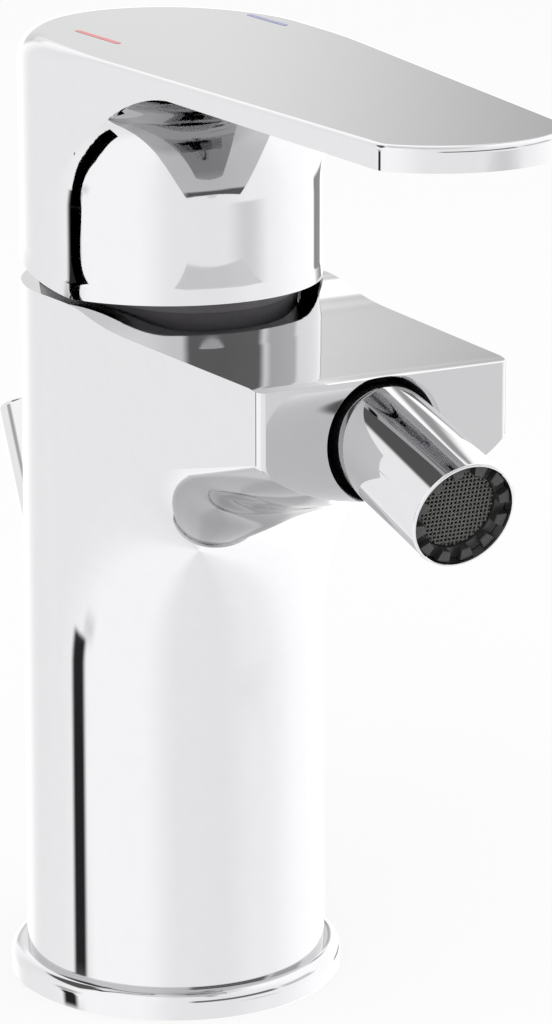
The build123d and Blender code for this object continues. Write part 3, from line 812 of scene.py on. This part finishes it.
def make_aerator_tube(chrome):
    """Swivelling tube with its ball end, bore and throat."""
    mouth = -sqrt(sleeve_radius**2 - sleeve_mouth_radius**2)
    outline = arc((0, 0), sleeve_radius, degrees(atan2(mouth, sleeve_mouth_radius)), 0, 24)
    rim = (sleeve_radius - sleeve_rim_round, sleeve_length - sleeve_rim_round)
    outline += arc(rim, sleeve_rim_round, 0, 90, 5)
    outline += [
        (sleeve_bore_radius + sleeve_rim_chamfer, sleeve_length),
        (sleeve_bore_radius, sleeve_length - sleeve_rim_chamfer),
        (sleeve_bore_radius, aerator_step),
        (throat_radius, aerator_step),
        (throat_radius, 0),
        (ball_taper_top_radius, 0),
        (ball_taper_end_radius, -ball_taper_depth),
    ]
    piece = to_object("aerator_tube", placed(closed_turn(outline, 160), tube_place()))
    smooth(piece)
    finish_piece(piece, "aerator", ("aerator_sleeve",), chrome)


def make_jet_holder(plastic):
    """Ring in the tube's mouth with notches all round its edge."""
    end = sleeve_length - insert_recess
    start = end - insert_length
    ledge = end - mesh_recess - insert_ledge
    outline = [
        (insert_bore_radius, start),
        (insert_radius - insert_chamfer, start),
        (insert_radius, start + insert_chamfer),
        (insert_radius, end - insert_chamfer),
        (insert_radius - insert_chamfer, end),
        (insert_lip_radius + insert_chamfer, end),
        (insert_lip_radius, end - insert_chamfer),
        (insert_lip_radius, ledge),
        (insert_bore_radius, ledge),
    ]
    piece = to_object("jet_holder", closed_turn(outline, 144))
    size = (insert_notch_width, insert_notch_length, 2 * insert_notch_depth)
    for turn in range(insert_notches):
        notch = bmesh.new()
        bmesh.ops.create_cube(notch, size=1.0)
        bmesh.ops.scale(notch, verts=notch.verts, vec=size)
        bmesh.ops.translate(notch, verts=notch.verts, vec=(0, insert_lip_radius + insert_notch_offset, end))
        around = Matrix.Rotation(2 * pi * turn / insert_notches, 3, "Z")
        bmesh.ops.rotate(notch, verts=notch.verts, cent=(0, 0, 0), matrix=around)
        carve(piece, notch)
    piece.data.transform(tube_place())
    clean_mesh(piece)
    soften(piece, insert_edge_round, 30, 2)
    finish_piece(piece, "aerator", ("aerator_insert",), plastic)


def make_screen(finish):
    """Woven screen: two layers of crossing wires that bend over and under each other."""
    level = sleeve_length - insert_recess - mesh_recess - mesh_sink
    pitch = 2 * mesh_radius / mesh_wires
    sides = 6
    bm = bmesh.new()
    for direction in range(2):
        for i in range(1, mesh_wires):
            offset = -mesh_radius + pitch * i
            length = 2 * sqrt(mesh_radius**2 - offset**2) - mesh_rim_gap
            steps = max(int(length / (pitch / 2)), 4)
            loops = []
            for step in range(steps + 1):
                along = -length / 2 + length * step / steps
                wave = mesh_wire_wave * cos(pi * (along / pitch + i + direction))
                ring = []
                for corner in range(sides):
                    a = 2 * pi * corner / sides
                    across = offset + mesh_wire_width / 2 * cos(a)
                    up = level + wave + mesh_wire_width / 2 * sin(a)
                    ring.append((along, across, up) if direction == 0 else (across, along, up))
                loops.append(ring)
            capped_wall(bm, loops)
    bmesh.ops.recalc_face_normals(bm, faces=bm.faces)
    piece = to_object("outlet_screen", placed(bm, tube_place()))
    smooth(piece, 60)
    finish_piece(piece, "aerator", ("aerator_mesh",), finish)


def make_lift_rod(chrome):
    """Leaning rod, from its foot in the casting up into the knob."""
    top = along_rod(knob_top_height) - knob_length + rod_in_knob
    foot = along_rod(rod_foot_height)
    profile = [
        (0, foot),
        (rod_radius - rod_foot_chamfer, foot),
        (rod_radius, foot + rod_foot_chamfer),
        (rod_radius, top),
        (0, top),
    ]
    piece = to_object("lift_rod_bar", placed(turned(profile, 64), rod_place()))
    smooth(piece)
    finish_piece(piece, "lift", ("lift_rod",), chrome)


def make_lift_knob(chrome):
    """Round knob on the rod's top."""
    top = along_rod(knob_top_height)
    bottom = top - knob_length
    low_centre = (knob_radius - knob_bottom_round, bottom + knob_bottom_round)
    high_centre = (knob_radius - knob_top_round, top - knob_top_round)
    profile = [(0, bottom), (knob_radius - knob_bottom_round, bottom)]
    profile += arc(low_centre, knob_bottom_round, -90, 0, 8)[1:]
    profile += arc(high_centre, knob_top_round, 0, 90, 8)
    profile += [(0, top)]
    piece = to_object("lift_rod_knob", placed(turned(profile, 96), rod_place()))
    smooth(piece, 50)
    finish_piece(piece, "lift", ("lift_knob",), chrome)


# Materials

def node(tree, kind, **values):
    """A new node with some of its settings given."""
    made = tree.nodes.new(kind)
    for name, value in values.items():
        setattr(made, name, value)
    return made


def polish_group():
    """Faint uneven polish: roughness, colour mask and fine waviness that change over a surface."""
    group = bpy.data.node_groups.new("uneven_polish", "ShaderNodeTree")
    given = (("Base", "Color"), ("Smear", "Color"), ("Scale", "Float"), ("Low", "Float"), ("High", "Float"))
    made = (("Color", "Color"), ("Roughness", "Float"), ("Height", "Float"))
    for sockets, way in ((given, "INPUT"), (made, "OUTPUT")):
        for name, kind in sockets:
            group.interface.new_socket(name, in_out=way, socket_type="NodeSocket" + kind)
    start = node(group, "NodeGroupInput")
    end = node(group, "NodeGroupOutput")
    place = node(group, "ShaderNodeTexCoord")
    blotch = node(group, "ShaderNodeTexNoise")
    blotch.inputs["Detail"].default_value = 3.0
    fine = node(group, "ShaderNodeTexNoise")
    fine.inputs["Detail"].default_value = 2.0
    finer = node(group, "ShaderNodeMath", operation="MULTIPLY")
    finer.inputs[1].default_value = 7.0
    spread = node(group, "ShaderNodeMapRange")
    spread.inputs["From Min"].default_value = 0.35
    spread.inputs["From Max"].default_value = 0.65
    tint = node(group, "ShaderNodeMix", data_type="RGBA")
    link = group.links.new
    link(place.outputs["Object"], blotch.inputs["Vector"])
    link(place.outputs["Object"], fine.inputs["Vector"])
    link(start.outputs["Scale"], blotch.inputs["Scale"])
    link(start.outputs["Scale"], finer.inputs[0])
    link(finer.outputs[0], fine.inputs["Scale"])
    link(blotch.outputs["Fac"], spread.inputs["Value"])
    link(start.outputs["Low"], spread.inputs["To Min"])
    link(start.outputs["High"], spread.inputs["To Max"])
    link(spread.outputs["Result"], end.inputs["Roughness"])
    link(fine.outputs["Fac"], tint.inputs["Factor"])
    link(start.outputs["Base"], tint.inputs["A"])
    link(start.outputs["Smear"], tint.inputs["B"])
    link(tint.outputs["Result"], end.inputs["Color"])
    link(fine.outputs["Fac"], end.inputs["Height"])
    return group


def finish_material(group, name, base, smear, scale, low, high, metallic, bump, depth):
    """A material whose colour, gloss and fine relief come from the shared uneven polish."""
    material = bpy.data.materials.new(name)
    material.use_nodes = True
    tree = material.node_tree
    shader = tree.nodes["Principled BSDF"]
    shader.inputs["Metallic"].default_value = metallic
    polish = node(tree, "ShaderNodeGroup", node_tree=group)
    given = {"Base": (*base, 1), "Smear": (*smear, 1), "Scale": scale, "Low": low, "High": high}
    for socket, value in given.items():
        polish.inputs[socket].default_value = value
    relief = node(tree, "ShaderNodeBump")
    relief.inputs["Strength"].default_value = bump
    relief.inputs["Distance"].default_value = depth
    link = tree.links.new
    link(polish.outputs["Color"], shader.inputs["Base Color"])
    link(polish.outputs["Roughness"], shader.inputs["Roughness"])
    link(polish.outputs["Height"], relief.inputs["Height"])
    link(relief.outputs["Normal"], shader.inputs["Normal"])
    return material


# Each finish: name, colour, second colour, scale of the unevenness, least and most roughness, metallic,
# and the strength and depth of the relief
finish_table = {
    "chrome": (
        "polished_chrome", (0.565, 0.565, 0.575), (0.585, 0.585, 0.595), 60, 0.02, 0.05, 1.0, 0.01, 0.00002
    ),
    # Near-black finish inside the spout's face bore: painted shade in the recess
    "painted_bore_shade": ("painted_bore_shade", (0.02, 0.02, 0.022), (0.05, 0.05, 0.052), 200, 0.5, 0.7, 0.0, 0.1, 0.00005),
    # Dark grey satin for the dome under the hub
    "dark_dome_grey": ("dark_grey_dome_satin", (0.17, 0.16, 0.17), (0.2, 0.19, 0.2), 200, 0.35, 0.5, 0.0, 0.05, 0.00003),
    "screen": (
        "dark_screen_wire", (0.06, 0.06, 0.055), (0.12, 0.12, 0.11), 300, 0.35, 0.5, 0.0, 0.1, 0.00005
    ),
    "rubber": ("black_rubber", (0.02, 0.02, 0.02), (0.04, 0.04, 0.04), 300, 0.6, 0.8, 0.0, 0.3, 0.0001),
    "brass": ("turned_brass", (0.66, 0.49, 0.22), (0.75, 0.58, 0.3), 250, 0.25, 0.4, 1.0, 0.15, 0.00005),
    "steel": ("plain_steel", (0.5, 0.5, 0.5), (0.62, 0.62, 0.62), 250, 0.3, 0.45, 1.0, 0.1, 0.00005),
    "white_plastic": (
        "white_moulding", (0.8, 0.8, 0.78), (0.86, 0.86, 0.84), 200, 0.4, 0.55, 0.0, 0.15, 0.00005
    ),
    "ceramic": ("lapped_ceramic", (0.86, 0.83, 0.76), (0.9, 0.88, 0.82), 200, 0.1, 0.2, 0.0, 0.05, 0.00003),
    "black_plastic": (
        "black_moulding", (0.012, 0.012, 0.013), (0.03, 0.03, 0.032), 300, 0.3, 0.5, 0.0, 0.2, 0.00005
    ),
    "red": ("red_enamel", (0.6, 0.12, 0.12), (0.66, 0.18, 0.17), 400, 0.3, 0.4, 0.0, 0.05, 0.00002),
    "blue": ("blue_enamel", (0.2, 0.22, 0.42), (0.26, 0.28, 0.48), 400, 0.3, 0.4, 0.0, 0.05, 0.00002),
}


def make_materials():
    """Every finish by its short name."""
    group = polish_group()
    return {key: finish_material(group, *row) for key, row in finish_table.items()}


# Red and blue marks on the lever

def make_mark(name, ends, material):
    """A thin round-ended dash of enamel lying on the lever's sloping top."""
    first, last = [Vector(end) for end in ends]
    along = (last - first).normalized()
    across = Vector((-along.y, along.x))
    steps = 8
    outline = []
    for centre, begin in ((last, 90), (first, 270)):
        for i in range(steps + 1):
            a = radians(begin - 180 * i / steps)
            outline.append(centre + along * (mark_width / 2 * cos(a)) + across * (mark_width / 2 * sin(a)))
    loops = [[spot(p.x, p.y, lever_top_at(p.y) + h) for p in outline] for h in (-mark_sink, mark_rise)]
    piece = to_object(name, solid_through(loops))
    smooth(piece)
    finish_piece(piece, "lever", (), material)


# Camera, lights and surroundings

def facing(place, aim):
    """Placement at one point that looks at another."""
    return Matrix.Translation(place) @ (aim - place).to_track_quat("-Z", "Y").to_matrix().to_4x4()


def make_camera():
    """The camera that was fitted to the photograph."""
    place = Vector((-281.18, -537.26, 235.78)) * mm
    aim = Vector((8.855, -15.39, 73.154)) * mm
    roll = radians(-0.022)
    focal_pixels = 4251.43
    picture_pixels = 1024
    data = bpy.data.cameras.new("camera")
    camera = bpy.data.objects.new("camera", data)
    bpy.context.scene.collection.objects.link(camera)
    data.sensor_fit = "VERTICAL"
    data.sensor_height = 24.0
    data.lens = data.sensor_height * focal_pixels / picture_pixels
    data.clip_start = 0.01
    data.clip_end = 50
    camera.matrix_world = facing(place, aim) @ Matrix.Rotation(roll, 4, "Z")
    bpy.context.scene.camera = camera


def emission_material(name, colour, strength):
    """A material that only glows, or stays dark at strength 0."""
    material = bpy.data.materials.new(name)
    material.use_nodes = True
    tree = material.node_tree
    tree.nodes.clear()
    glow = node(tree, "ShaderNodeEmission")
    glow.inputs["Color"].default_value = (*colour, 1)
    glow.inputs["Strength"].default_value = strength
    out = node(tree, "ShaderNodeOutputMaterial")
    tree.links.new(glow.outputs[0], out.inputs["Surface"])
    return material


def make_floor():
    """Pale floor that keeps the shadow. The metal looks past it at the surroundings."""
    bm = bmesh.new()
    bmesh.ops.create_grid(bm, x_segments=8, y_segments=8, size=3.0)
    floor = to_object("floor", bm)
    material = bpy.data.materials.new("pale_floor")
    material.use_nodes = True
    tree = material.node_tree
    shader = tree.nodes["Principled BSDF"]
    shader.inputs["Base Color"].default_value = (0.9, 0.9, 0.9, 1)
    shader.inputs["Roughness"].default_value = 0.9
    shader.inputs["Specular IOR Level"].default_value = 0.0
    white = node(tree, "ShaderNodeEmission")
    white.inputs["Strength"].default_value = 1.0
    mix = node(tree, "ShaderNodeMixShader")
    mix.inputs[0].default_value = 0.75
    out = tree.nodes["Material Output"]
    tree.links.new(shader.outputs[0], mix.inputs[1])
    tree.links.new(white.outputs[0], mix.inputs[2])
    tree.links.new(mix.outputs[0], out.inputs["Surface"])
    floor.data.materials.append(material)
    floor.visible_glossy = False


def lying_card(name, bearing, stations, height, material):
    """A level strip that only reflections see, through places (outward, sideways, width) along a bearing."""
    turn = radians(bearing)
    out = spot(sin(turn), cos(turn), 0)
    side = spot(cos(turn), -sin(turn), 0)
    bm = bmesh.new()
    rows = []
    for reach, shift, width in stations:
        middle = out * reach * mm + Vector((0, 0, height))
        rows.append([bm.verts.new(middle + side * (shift + half * width / 2) * mm) for half in (-1, 1)])
    for row, further in zip(rows, rows[1:]):
        bm.faces.new((row[0], row[1], further[1], further[0]))
    card = to_object(name, bm)
    card.data.materials.append(material)
    card.visible_camera = False
    card.visible_diffuse = False
    card.visible_shadow = False


# Surroundings that the metal mirrors. Bearings go from straight ahead towards the right, in degrees.
# The ring gives the light at each bearing.
bright_ring = (
    (-180, 1.48),
    (-160, 1.31),
    (-130, 1.38),
    (-90, 1.57),
    (-55, 1.57),
    (-23, 1.34),
    (7, 1.32),
    (41, 1.44),
    (85, 1.66),
    (150, 1.66),
    (180, 1.48),
)
brightest = 1.7

# What two mirrors in a row show: bearings, their blur, heights, their blur, and the share of light left.
# The count of bounces is 3 after two mirrors.
two_mirrors = 2.5
twice_mirrored_gaps = (
    (-190, 190, 1.0, -100, -46, 5.0, 0.74),
    (82, 166, 8.0, -100, -27, 5.0, 0.68),
)

# Near dark strip beside the hub: outward, sideways, width, all in mm
hub_strip_bearing = -103
hub_strip_height = 104.6 * mm
hub_strip = (
    (21.5, 17.9, 4.4),
    (30, 17.9, 4.8),
    (36, 16.9, 5.4),
    (41, 15.2, 5.8),
    (46, 13.9, 6.2),
    (52, 12.8, 6.8),
    (60, 11.8, 8.2),
    (70, 11.5, 10.0),
    (90, 12.0, 15.0),
)

# Each gap between the panels: bearings, their blur, heights, their blur, and the share of light left
dark_gaps = (
    (-112.3, -100.6, 2.4, -21.5, -5, 0.8, 0.02),
    (-104, -95, 3.0, -27, -21.5, 3.0, 0.75),
    (-116, -98, 6.0, -2, 13, 5.0, 0.42),
    (22, 44, 10, -16.5, -9, 1.2, 0.74),
    (112.5, 131, 2.0, -15.5, -9, 1.0, 0.24),
    (140, 176, 4.0, 6, 24, 3.0, 0.75),
    (140, 176, 4.0, 4, 16.5, 2.0, 0.8),
    (139, 148.6, 3.4, 8, 24, 2.0, 0.55),
    (-17, 46, 4.0, 12, 27, 1.0, 0.18),
    (52, 84, 4.0, 12, 27, 2.0, 0.6),
    (-160, -108, 4.0, 38.5, 62, 2.5, 0.1),
    (133, 140, 2.0, 27, 52, 3.0, 0.3),
    (-190, 190, 1.0, 66, 100, 6.0, 0.72),
)


def figure(tree, operation, *values):
    """A number worked out in the node tree from numbers and sockets."""
    made = node(tree, "ShaderNodeMath", operation=operation)
    for socket, value in zip(made.inputs, values):
        if isinstance(value, (int, float)):
            socket.default_value = value
        else:
            tree.links.new(value, socket)
    return made.outputs[0]


def soft_step(tree, value, place, blur):
    """0 below a place and 1 above it, with a soft change."""
    step = node(tree, "ShaderNodeMapRange", interpolation_type="SMOOTHSTEP")
    step.inputs["From Min"].default_value = place - blur
    step.inputs["From Max"].default_value = place + blur
    tree.links.new(value, step.inputs["Value"])
    return step.outputs["Result"]


def between(tree, value, low, high, blur):
    """1 between two places and 0 outside them, with soft ends."""
    return figure(tree, "SUBTRACT", soft_step(tree, value, low, blur), soft_step(tree, value, high, blur))


def dimmed(tree, light, bearing, height, gap, only=None):
    """Light with one soft-edged gap taken out of it. If only is given, just where that is 1."""
    left, right, side_blur, low, high, height_blur, share = gap
    across = between(tree, bearing, left, right, side_blur)
    upright = between(tree, height, low, high, height_blur)
    shade = figure(tree, "MULTIPLY", across, upright)
    if only is not None:
        shade = figure(tree, "MULTIPLY", only, shade)
    return figure(tree, "MULTIPLY", light, figure(tree, "MULTIPLY_ADD", shade, share - 1.0, 1.0))


def white_background(tree, strength):
    """Plain white surroundings."""
    made = node(tree, "ShaderNodeBackground")
    made.inputs["Color"].default_value = (1, 1, 1, 1)
    made.inputs["Strength"].default_value = strength
    return made


def choice(tree, share, first, second):
    """The first shader where the share is 0, and the second where it is 1."""
    mix = node(tree, "ShaderNodeMixShader")
    for socket, value in zip(mix.inputs, (share, first.outputs[0], second.outputs[0])):
        tree.links.new(value, socket)
    return mix


def make_world():
    """White for the camera, plain light for matte surfaces, and panels with dark gaps for the metal."""
    world = bpy.data.worlds.new("studio")
    bpy.context.scene.world = world
    world.use_nodes = True
    tree = world.node_tree
    tree.nodes.clear()
    looks = node(tree, "ShaderNodeTexCoord")
    parts = node(tree, "ShaderNodeSeparateXYZ")
    tree.links.new(looks.outputs["Generated"], parts.inputs[0])
    forward = figure(tree, "MULTIPLY", parts.outputs["Y"], -1.0)
    bearing = figure(tree, "DEGREES", figure(tree, "ARCTAN2", parts.outputs["X"], forward))
    height = figure(tree, "DEGREES", figure(tree, "ARCSINE", parts.outputs["Z"]))
    ramp = node(tree, "ShaderNodeValToRGB")
    ramp.color_ramp.interpolation = "EASE"
    stops = ramp.color_ramp.elements
    while len(stops) < len(bright_ring):
        stops.new(0.5)
    for stop, (place, level) in zip(stops, bright_ring):
        share = level / brightest
        stop.position = (place + 180) / 360
        stop.color = (share, share, share, 1)
    tree.links.new(figure(tree, "DIVIDE", figure(tree, "ADD", bearing, 180.0), 360.0), ramp.inputs[0])
    light = figure(tree, "MULTIPLY", ramp.outputs["Color"], brightest)
    for gap in dark_gaps:
        light = dimmed(tree, light, bearing, height, gap)
    path = node(tree, "ShaderNodeLightPath")
    again = figure(tree, "GREATER_THAN", path.outputs["Ray Depth"], two_mirrors)
    for gap in twice_mirrored_gaps:
        light = dimmed(tree, light, bearing, height, gap, again)
    mirrored = white_background(tree, 1.0)
    tree.links.new(light, mirrored.inputs["Strength"])
    reached = choice(tree, path.outputs["Is Glossy Ray"], white_background(tree, 0.9), mirrored)
    seen = choice(tree, path.outputs["Is Camera Ray"], reached, white_background(tree, 1.0))
    out = node(tree, "ShaderNodeOutputWorld")
    tree.links.new(seen.outputs[0], out.inputs["Surface"])


def make_lamp(name, place, aim, side, power):
    """A soft square lamp whose own shape the metal doesn't mirror."""
    data = bpy.data.lights.new(name, "AREA")
    data.shape = "RECTANGLE"
    data.size = side
    data.size_y = side
    data.energy = power
    lamp = bpy.data.objects.new(name, data)
    bpy.context.scene.collection.objects.link(lamp)
    lamp.matrix_world = facing(place, aim)
    lamp.visible_glossy = False


def make_studio():
    """Surroundings, floor, dark strip and two soft lamps."""
    make_world()
    make_floor()
    black = emission_material("dark_card", (0.0, 0.0, 0.0), 0.0)
    lying_card("hub_strip", hub_strip_bearing, hub_strip, hub_strip_height, black)
    aim = Vector((0, 0, 0.08))
    make_lamp("soft_key", Vector((-0.6, -0.7, 1.1)), aim, 0.9, 4)
    make_lamp("soft_fill", Vector((0.9, -0.5, 0.7)), aim, 0.8, 2)


# Making

make_camera()
make_studio()
finishes = make_materials()
chrome = finishes["chrome"]
column = make_column(chrome, finishes["painted_bore_shade"])
make_spigot(chrome)
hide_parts("mixer_body")
make_base_ring(chrome)
make_dome(finishes["dark_dome_grey"])
make_lever(chrome)
make_aerator_tube(chrome)
make_jet_holder(finishes["black_plastic"])
make_screen(finishes["screen"])
make_lift_rod(chrome)
make_lift_knob(chrome)
make_mark("hot_mark", hot_mark, finishes["red"])
make_mark("cold_mark", cold_mark, finishes["blue"])

slots = {part["node"]: part["material_slot"] for part in frame["record"]["subparts"]}
for name, piece in frame["nodes"].items():
    piece.data.materials.clear()
    piece.data.materials.append(finishes[slots[name]])

bpy.context.scene.view_settings.view_transform = "Standard"
